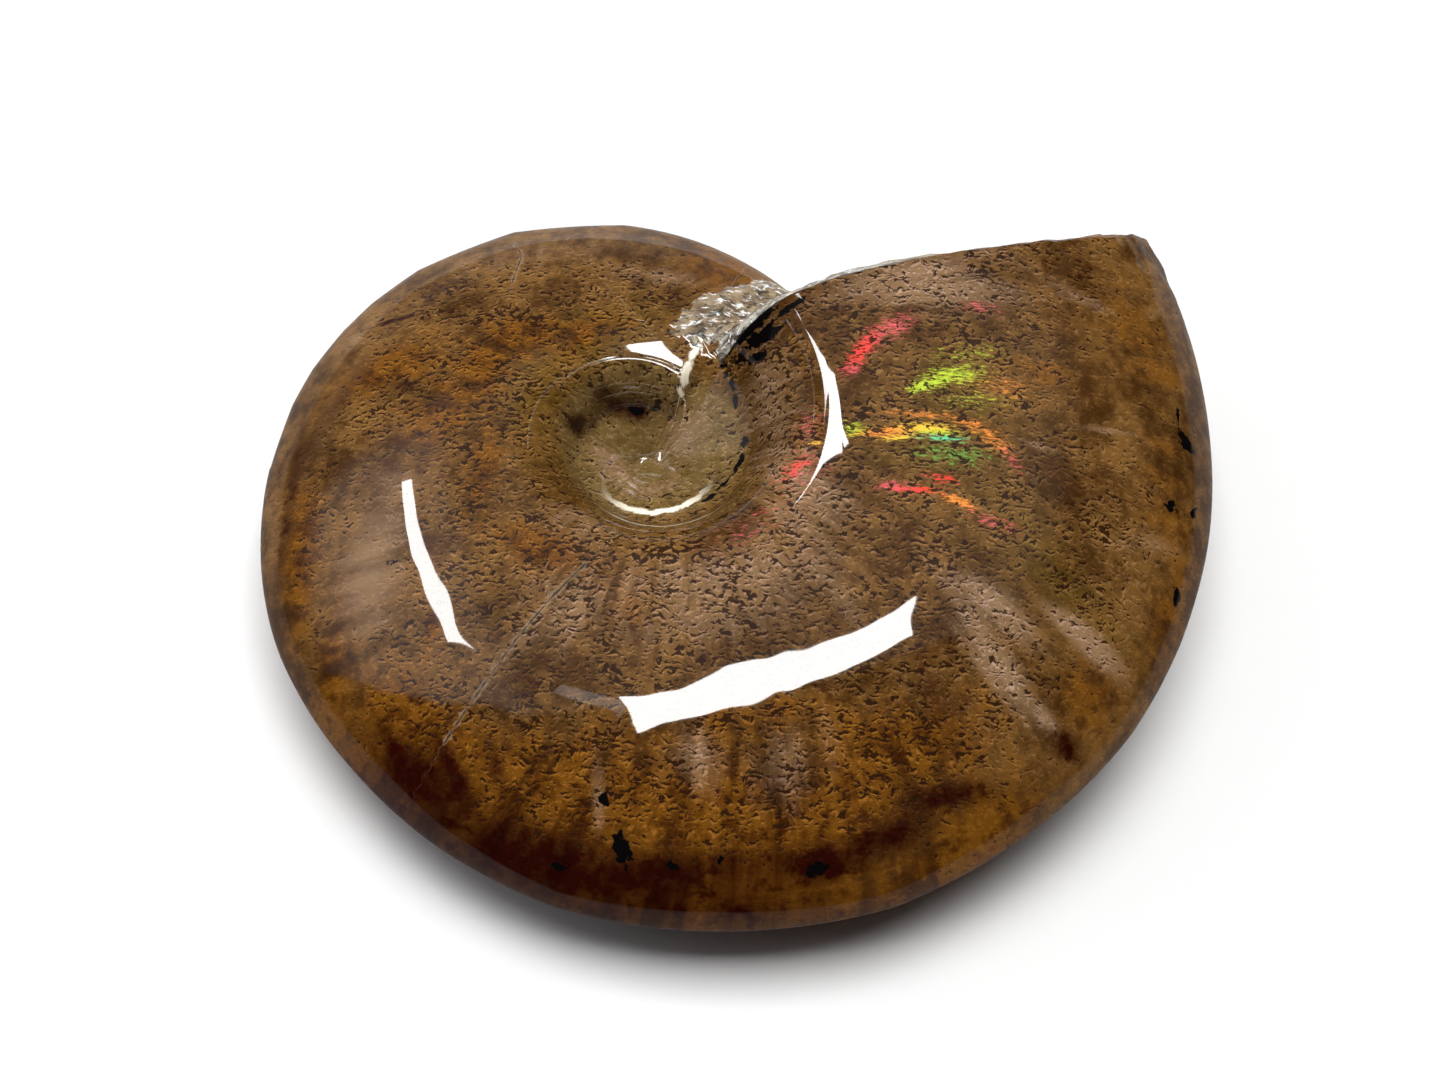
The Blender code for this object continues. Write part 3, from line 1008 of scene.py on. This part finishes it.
skin, tree, shader = material_called("polished_stone")
place = kept(tree, "plan_mm", "Vector")
turn_at, share_at = kept(tree, "turn"), kept(tree, "share")
cloudy = placed(tree, cloud_group, {"Place": place, "Turn": turn_at, "Share": share_at})
clouds, mottle, bands = cloudy["Clouds"], cloudy["Mottle"], cloudy["Bands"]
pitted_at = kept(tree, "pitted")
pits = placed(tree, pits_group, {"Place": place, "Amount": pitted_at})
even = sums(tree, "ADD", times(tree, clouds, 0.6), times(tree, mottle, 0.4))
tone = blend(tree, ramp(tree, even, 0.37, 0.64), STONE_DARK, STONE_LIGHT)
tone = blend(tree, times(tree, kept(tree, "olive"), 0.8), tone, OLIVE_TONE)


def broken(strength, grain_value, push, start, end):
    """A soft zone with its edge broken up by a grain."""
    uneven_by = times(tree, minus(tree, grain_value, 0.5), push)
    return ramp(tree, sums(tree, "ADD", strength, uneven_by), start, end)


# The bowl is painted lighter: its olive stands in for light that the deep hollow loses.
lightened_bowl_tone = blend(tree, mottle, LIGHTENED_BOWL_DEEP, LIGHTENED_BOWL_PALE)
tone = blend(tree, kept(tree, "bowl"), tone, lightened_bowl_tone)
amber_tone = blend(tree, broken(mottle, bands, 1.1, 0.26, 0.68), AMBER_DEEP, AMBER_CLEAR)
patchy = times(tree, sums(tree, "ADD", mottle, sums(tree, "ADD", bands, clouds)), 0.333)
amber_here = broken(kept(tree, "amber"), patchy, 2.6, 0.10, 0.85)
tone = blend(tree, amber_here, tone, amber_tone)
# Milky taupe, partly the filling's own colour and partly a painted reflection of the pale room.
tone = blend(tree, broken(kept(tree, "milky_and_haze"), bands, 1.1, 0.15, 0.95), tone, MILK_AND_HAZE_TONE)
# Dark red near the keel, with a painted shade on the umbilical wall below the dome.
tone = blend(tree, broken(kept(tree, "dark_red_and_shade"), mottle, 1.2, 0.15, 0.85), tone, RED_AND_SHADE_TONE)
banding = ramp(tree, bands, 0.34, 0.50)
in_band = minus(tree, 0.25, times(tree, banding, 0.25))
tone = blend(tree, in_band, tone, (0.0, 0.0, 0.0))
sunken = times(tree, pits["Dents"], 0.94)
dented = blend(tree, sunken, tone, DENT_TONE)
# Painted highlight: the lit tone brightens the side of each dent that faces the light.
lit_tone = blend(tree, 1.0, tone, LIT_SIDE_GAIN, "MULTIPLY")
dented = blend(tree, times(tree, pits["Painted lit sides"], 0.75), dented, lit_tone)
# Painted highlight: small pale flecks between the dents, in the same lit tone.
lit_flecks = ramp(tree, grain(tree, place, (0.20, 0.13, 0.2), 3.0, 0.7), 0.56, 0.68)
lit_flecks = times(tree, lit_flecks, minus(tree, 1.0, sunken))
lit_flecks = times(tree, lit_flecks, times(tree, pitted_at, 0.70))
dented = blend(tree, lit_flecks, dented, lit_tone)

# %% [markdown]
# The marks come last, over the dents. Pearl shows only in grains, between the dents, where it is
# strong enough. A crack is a thin dark line with pale dust beside it. Along the seam and the small
# step by the lip a thin pale line is painted as their highlight. Black specks cover them all.

# %% Pearl, specks, cracks and the seam's painted highlight
sparkle = grain(tree, place, (0.42, 0.09, 0.3), 3.0, 0.75)
pearl_at = broken(kept(tree, "pearl"), sparkle, 2.6, 0.24, 0.92)
pearl_at = times(tree, pearl_at, minus(tree, 1.0, sunken))
pearl_at = times(tree, pearl_at, ramp(tree, kept(tree, "pearl"), 0.03, 0.15))
coloured = blend(tree, pearl_at, dented, kept(tree, "pearl_hue", "Color"))


def ragged(distance, raggedness, blur):
    """A mask from a distance to a mark's edge, with the edge torn by the given amount."""
    inputs = {"Distance": distance, "Place": place, "Raggedness": raggedness, "Blur": blur}
    return placed(tree, mark_group, inputs)["Mark"]


specks_at = ragged(kept(tree, "specks"), 0.85, 0.05)
from_crack = sums(tree, "ABSOLUTE", kept(tree, "cracks"))
cracks_at = ragged(minus(tree, from_crack, 0.03), 0.20, 0.05)
dust_at = ragged(minus(tree, from_crack, 0.09), 0.55, 0.12)
coloured = blend(tree, times(tree, dust_at, 0.35), coloured, DUST_TONE)
coloured = blend(tree, times(tree, cracks_at, 0.8), coloured, BLACK_TONE)
# Painted highlight: a thin pale line along the seam and the step by the lip.
seam = minus(tree, sums(tree, "ABSOLUTE", kept(tree, "highlight_off")), 0.15)
seam_highlight_at = times(tree, ragged(seam, 0.42, 0.10), kept(tree, "highlight_strength"))
coloured = blend(tree, seam_highlight_at, coloured, SEAM_HIGHLIGHT_TONE)
coloured = blend(tree, specks_at, coloured, BLACK_TONE)
feed(tree, shader, {"Base Color": coloured})

# %% [markdown]
# The base is matt and bent by the dents, and the coat over it is clear and even. The coat is left
# off by the lip and beside the umbilicus, where lamps would show in it twice, and is thinner along
# the outer edge.

# %% Gloss of the skin
bump = add(tree, "Bump", {"Height": pits["Height"], "Strength": 0.12, "Distance": 0.00010})
rough = sums(tree, "ADD", 0.45, times(tree, mottle, 0.2))
gloss = {
    "Normal": bump.outputs[0],
    "Roughness": rough,
    "Specular IOR Level": 0.0,
    "Coat Weight": kept(tree, "polish"),
    "Coat Roughness": 0.025,
    "Coat IOR": 1.5,
}
feed(tree, shader, gloss)
mesh.materials.append(skin)

# %% [markdown]
# ### The broken mouth
#
# Where the shell was broken off, the polish stops. Grey and silver layers of old pearl show, with
# sharp glints painted in as white flecks, and a black line where the outer wall ends.

# %% Broken mouth stone
GREY_DARK, GREY_LIGHT = (0.11, 0.085, 0.060), (0.56, 0.52, 0.43)
EARTH_DARK, EARTH_LIGHT = (0.10, 0.058, 0.024), (0.42, 0.31, 0.18)
GLINT_TONE, HOLE_TONE = (0.92, 0.91, 0.88), (0.012, 0.009, 0.006)
face_stone, tree, shader = material_called("broken_mouth_stone")
place = kept(tree, "plan_mm", "Vector")
pits = placed(tree, pits_group, {"Place": place, "Amount": 1.0})
cloudy = placed(tree, cloud_group, {"Place": place, "Turn": 0.0, "Share": 0.0})
layer = grain(tree, place, (0.9, 0.3, 0.25), 4.0, 0.65)
gap = kept(tree, "lip_gap")
brown_side = broken(gap, layer, 2.5, 0.9, 1.7)
grey = blend(tree, ramp(tree, cloudy["Mottle"], 0.36, 0.60), GREY_DARK, GREY_LIGHT)
earth = blend(tree, ramp(tree, cloudy["Mottle"], 0.26, 0.74), EARTH_DARK, EARTH_LIGHT)
tone = blend(tree, brown_side, grey, earth)
# Painted highlight: white flecks stand in for the glints of the broken pearl.
tone = blend(tree, ramp(tree, layer, 0.54, 0.60), tone, GLINT_TONE)
tone = blend(tree, times(tree, pits["Dents"], 0.8), tone, HOLE_TONE)
outward_at = add(tree, "SeparateXYZ", {"Vector": place}).outputs["X"]
tone = blend(tree, ramp(tree, outward_at, 9.0, 14.0), tone, earth)
tone = blend(tree, ragged(gap, 0.35, 0.06), tone, BLACK_TONE)
bump = add(tree, "Bump", {"Height": layer, "Strength": 0.9, "Distance": 0.00030})
rough = sums(tree, "ADD", 0.22, times(tree, layer, 0.3))
finish = {"Base Color": tone, "Normal": bump.outputs[0], "Roughness": rough}
feed(tree, shader, {**finish, "Specular IOR Level": 0.5})
mesh.materials.append(face_stone)
broken_points = set(np.flatnonzero(on_ledge[used]).tolist())
for number, polygon in enumerate(mesh.polygons):
    if number >= len(skin_faces) or broken_points.issuperset(polygon.vertices):
        polygon.material_index = 1
print("materials", [m.name for m in mesh.materials])

# %% [markdown]
# ## The studio
#
# A white floor that fills the view, and narrow tubes of light whose reflections draw the shape.
# Behind and to the left the room is pale, and toward the viewer it is dark, so the polish has a
# milky half and a deep half. Broad soft lamps, unseen in the polish, do the rest.

# %% Floor
FLOOR_HALF = 3.0
PAPER_LOW, PAPER_HIGH = (0.78, 0.78, 0.775), (0.80, 0.80, 0.795)
floor_mesh = bpy.data.meshes.new("white_floor")
around = ((-1, -1), (1, -1), (1, 1), (-1, 1))
corners = [(x * FLOOR_HALF, y * FLOOR_HALF, 0) for x, y in around]
floor_mesh.from_pydata(corners, [], [(0, 1, 2, 3)])
floor = put_in_scene("white_floor", floor_mesh)
paper, tree, shader = material_called("white_paper")
fibre = grain(tree, add(tree, "TexCoord").outputs["Object"], 0.002)
paper_tone = blend(tree, fibre, PAPER_LOW, PAPER_HIGH)
feed(tree, shader, {"Base Color": paper_tone, "Roughness": 0.9, "Specular IOR Level": 0.1})
floor_mesh.materials.append(paper)

# %% [markdown]
# A lamp that should be seen in the polish is best placed by where its reflection looks. Straight
# up from the stone is (0, 0), and a slope of 1 leans 45 degrees: a tube is given by the slopes of
# its two ends, so its reflection can be moved by reading it off the render. The short lamps that
# curl round the umbilicus hang only a few centimetres above it, so that each is seen in one place.
# The sharp lamps light nothing but the polish, and the soft lamps light all but the polish.

# %% Lamps
CENTRE = Vector((0, 0, 0.008))
HOOK_AT, DOME_AT = Vector((0.0034, 0.0045, 0.0129)), Vector((-0.0044, 0.0081, 0.0103))


def tube(name, start, end, width, radiance, away=0.7, seen_from=CENTRE):
    """A long flat lamp whose ends are seen from a place on the stone along start and end."""
    ends = [seen_from + Vector((x, y, 1)) * away for x, y in (start, end)]
    middle = (ends[0] + ends[1]) / 2
    lengthwise = (ends[1] - ends[0]).normalized()
    facing = (middle - seen_from).normalized()
    sideways = facing.cross(lengthwise).normalized()
    facing = lengthwise.cross(sideways)
    made = bpy.data.lights.new(name, "AREA")
    made.shape = "RECTANGLE"
    made.size = (ends[1] - ends[0]).length
    made.size_y = width * away
    made.energy = radiance * math.pi * made.size * made.size_y
    shown = put_in_scene(name, made)
    turned = Matrix((lengthwise, sideways, facing)).transposed()
    shown.matrix_world = Matrix.Translation(middle) @ turned.to_4x4()
    shown.visible_camera = False
    return shown


SHARP = (
    tube("front_tube", (-0.245, -0.258), (0.335, -0.053), 0.098, 24),
    tube("front_tube_end", (-0.40, -0.16), (-0.255, -0.25), 0.040, 1.6),
    tube("left_tube", (-0.665, -0.06), (-0.777, 0.46), 0.066, 22),
    tube("back_tube", (-0.157, 0.193), (0.059, 0.219), 0.159, 26, 0.03, HOOK_AT),
    tube("back_tube_top", (-0.327, 0.272), (-0.084, 0.291), 0.056, 26, 0.02, HOOK_AT),
    tube("back_tube_foot", (0.001, 0.279), (0.099, 0.116), 0.027, 26, 0.02, HOOK_AT),
    tube("dome_tube", (0.088, 0.548), (0.131, 0.301), 0.095, 24, 0.05, DOME_AT),
)
for lamp in SHARP:
    lamp.visible_diffuse = False
SOFT = (
    tube("soft_overhead", (-0.42, 0.18), (0.32, 0.18), 0.55, 10.6),
    tube("soft_left", (-1.5, 0.0), (-1.2, 0.8), 0.6, 1.0),
)
for lamp in SOFT:
    lamp.visible_glossy = False
print("lamps", [lamp.name for lamp in SHARP + SOFT])

# %% [markdown]
# The room is painted on the sky by direction. It is pale on the far side with a crisp border, has
# a bright panel on the left, and is dark elsewhere. Seen directly it is plain near-white.

# %% Room
DARK_WALL, PALE_WALL, PANEL = (0.02, 0.02, 0.02), (0.30, 0.30, 0.31), (0.72, 0.70, 0.75)
FAR_WALL, LOW_WALL, BACKDROP = (0.10, 0.10, 0.10), (0.26, 0.26, 0.27), (0.95, 0.95, 0.95)
world = bpy.data.worlds.new("studio_room")
bpy.context.scene.world = world
world.use_nodes = True
room = world.node_tree
facing = add(room, "SeparateXYZ", {"Vector": add(room, "TexCoord").outputs["Generated"]}).outputs
forward = sums(room, "ADD", facing["Y"], times(room, facing["Z"], 0.20))
forward = minus(room, forward, times(room, facing["X"], 0.15))
pale = ramp(room, forward, -0.01, 0.02)
sideways = minus(room, facing["X"], times(room, facing["Z"], 0.75))
sideways = minus(room, sideways, times(room, facing["Y"], 0.3))
pale = times(room, pale, ramp(room, sideways, 0.15, -0.10))
leftward = sums(room, "ADD", facing["X"], times(room, facing["Z"], 0.45))
panel = ramp(room, leftward, 0.0, -0.12)
pale_tone = blend(room, panel, PALE_WALL, PANEL)
far_side = minus(room, facing["Y"], times(room, facing["Z"], 0.6))
pale_tone = blend(room, ramp(room, far_side, 0.0, 0.2), pale_tone, FAR_WALL)
low_back = ramp(room, facing["Z"], 0.40, 0.15)
pale_tone = blend(room, low_back, pale_tone, LOW_WALL)
walls = blend(room, pale, DARK_WALL, pale_tone)
to_camera = add(room, "LightPath").outputs["Is Camera Ray"]
shown_tone = blend(room, to_camera, walls, BACKDROP)
feed(room, room.nodes["Background"], {"Color": shown_tone})
bpy.context.scene.view_settings.view_transform = "Standard"
print("room painted with", len(room.nodes), "nodes")
